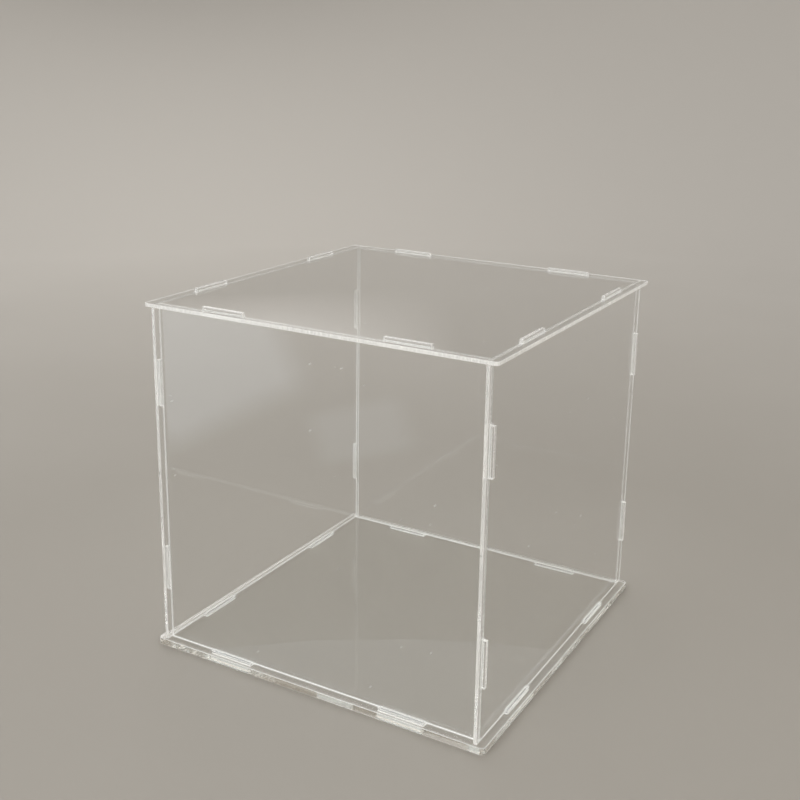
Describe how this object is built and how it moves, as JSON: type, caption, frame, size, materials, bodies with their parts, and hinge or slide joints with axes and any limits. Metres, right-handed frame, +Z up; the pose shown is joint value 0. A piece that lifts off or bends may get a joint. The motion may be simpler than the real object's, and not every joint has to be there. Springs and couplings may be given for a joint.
{
  "type": "display case",
  "caption": "Clear acrylic display case of tabbed flat sheets: a thick slotted base plate, upright walls and a lift-off lid that push together without glue or screws.",
  "frame": {"origin": "middle of the base plate's underside, on the surface that the case stands on", "axes": "+Z up, +X to the right seen from the front, +Y from front to back"},
  "size_m": [0.32, 0.32, 0.3118],
  "materials": {
    "base_acrylic": "clear cast acrylic, polished faces, laser-cut edges",
    "wall_acrylic": "clear cast acrylic, polished faces, laser-cut edges",
    "lid_acrylic": "clear cast acrylic, polished faces, laser-cut edges"
  },
  "bodies": {
    "base": {"base_plate": "base_acrylic"},
    "walls": {"front_wall": "wall_acrylic", "rear_wall": "wall_acrylic", "left_wall": "wall_acrylic", "right_wall": "wall_acrylic"},
    "lid": {"lid": "lid_acrylic"}
  },
  "joints": [
    {"name": "walls_lift", "type": "slide", "parent": "base", "child": "walls", "axis": [0, 0, 1], "range_m": [0, 0.32]},
    {"name": "lid_lift", "type": "slide", "parent": "walls", "child": "lid", "axis": [0, 0, 1], "range_m": [0, 0.32]}
  ]
}
